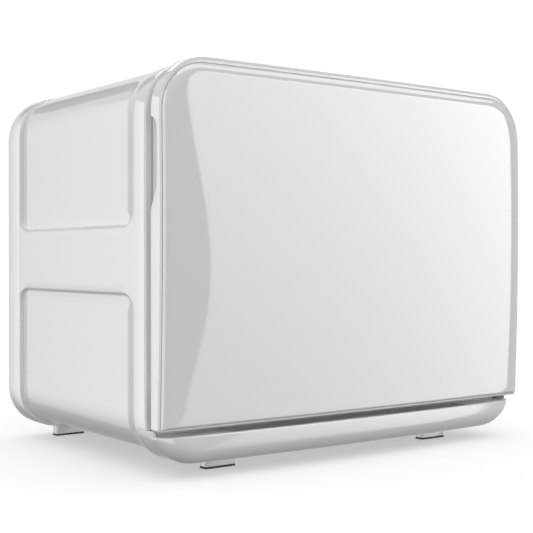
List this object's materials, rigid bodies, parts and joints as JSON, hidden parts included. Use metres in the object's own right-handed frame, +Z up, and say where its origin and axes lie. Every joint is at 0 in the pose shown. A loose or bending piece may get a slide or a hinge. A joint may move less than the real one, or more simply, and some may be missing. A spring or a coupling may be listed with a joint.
{
  "type": "mini fridge",
  "caption": "Landscape mini fridge: white round-cornered cabinet with sunk side panels, pillowed door hung on the right, bowed bottom trim, shelf, door bins and a thermoelectric cooling unit.",
  "frame": {"origin": "on the floor, under the middle of the object's box", "axes": "+Z up, the door faces -Y, +X is the hinge side, to the right of someone who faces the door"},
  "size_m": [0.52, 0.3764, 0.4235],
  "materials": {
    "cabinet_white": "glossy white moulded plastic",
    "door_gloss": "high-gloss white",
    "liner_white": "satin white, vacuum formed",
    "cover_white": "fine-grained white",
    "foam": "rigid polyurethane foam",
    "seal_grey": "soft pale grey seal",
    "black_rubber": "black rubber",
    "steel": "zinc-plated",
    "aluminium": "extruded",
    "ceramic": "matt white",
    "grey_plastic": "dark grey moulded",
    "black_plastic": "black moulded",
    "circuit_board": "green solder mask",
    "copper": "wound copper under tape",
    "nylon": "natural nylon",
    "shelf_glass": "toughened clear",
    "clear_plastic": "clear moulded"
  },
  "bodies": {
    "cabinet": {"outer_shell": "cabinet_white", "rear_ring": "cabinet_white", "inner_liner": "liner_white", "foam_insulation": "foam", "back_plate": "steel", "chin_trim": "cabinet_white", "intake_grille": "grey_plastic", "foot_front_left": "cabinet_white", "foot_front_right": "cabinet_white", "foot_rear_left": "cabinet_white", "foot_rear_right": "cabinet_white", "foot_pad_front_left": "black_rubber", "foot_pad_front_right": "black_rubber", "foot_pad_rear_left": "black_rubber", "foot_pad_rear_right": "black_rubber", "shelf_glass": "shelf_glass", "shelf_trim": "liner_white", "lamp_base": "liner_white", "lamp_lens": "clear_plastic", "evaporator_cover": "liner_white", "cold_heat_sink": "aluminium", "cold_block": "aluminium", "peltier_module": "ceramic", "hot_heat_sink": "aluminium", "cold_fan_frame": "black_plastic", "hot_fan_frame": "black_plastic", "power_board": "circuit_board", "transformer": "copper", "rear_cover": "cover_white", "rear_screw_1": "steel", "rear_screw_2": "steel", "rear_screw_3": "steel", "rear_screw_4": "steel", "rear_screw_5": "steel", "rear_screw_6": "steel", "control_pod": "cover_white", "power_inlet": "black_plastic", "switch_housing": "black_plastic", "thermostat_body": "grey_plastic", "hinge_bracket_top": "steel", "hinge_bracket_bottom": "steel", "hinge_pin_top": "steel", "hinge_pin_bottom": "steel"},
    "door": {"door_frame": "cabinet_white", "door_front_panel": "door_gloss", "door_foam": "foam", "door_liner": "liner_white", "finger_pull": "cabinet_white", "door_gasket": "seal_grey", "door_bin_lower": "clear_plastic", "door_bin_upper": "clear_plastic", "hinge_bush_top": "nylon", "hinge_bush_bottom": "nylon"},
    "cold_rotor": {"cold_fan_rotor": "grey_plastic"},
    "hot_rotor": {"hot_fan_rotor": "grey_plastic"},
    "rocker": {"mode_rocker": "black_plastic"},
    "knob": {"thermostat_knob": "cover_white"}
  },
  "joints": [
    {"name": "door_hinge", "type": "hinge", "parent": "cabinet", "child": "door", "pos_m": [0.248, -0.16855, 0.2], "axis": [0, 0, 1], "range_deg": [0, 105]},
    {"name": "cold_fan_spin", "type": "hinge", "parent": "cabinet", "child": "cold_rotor", "pos_m": [0, 0.07615, 0.226], "axis": [0, 1, 0], "continuous": true},
    {"name": "hot_fan_spin", "type": "hinge", "parent": "cabinet", "child": "hot_rotor", "pos_m": [0, 0.16585, 0.226], "axis": [0, 1, 0], "continuous": true},
    {"name": "mode_rocker_tip", "type": "hinge", "parent": "cabinet", "child": "rocker", "pos_m": [-0.13, 0.17025, 0.089], "axis": [1, 0, 0], "range_deg": [-9, 9]},
    {"name": "thermostat_turn", "type": "hinge", "parent": "cabinet", "child": "knob", "pos_m": [-0.096, 0.17205, 0.089], "axis": [0, -1, 0], "range_deg": [0, 270]}
  ]
}
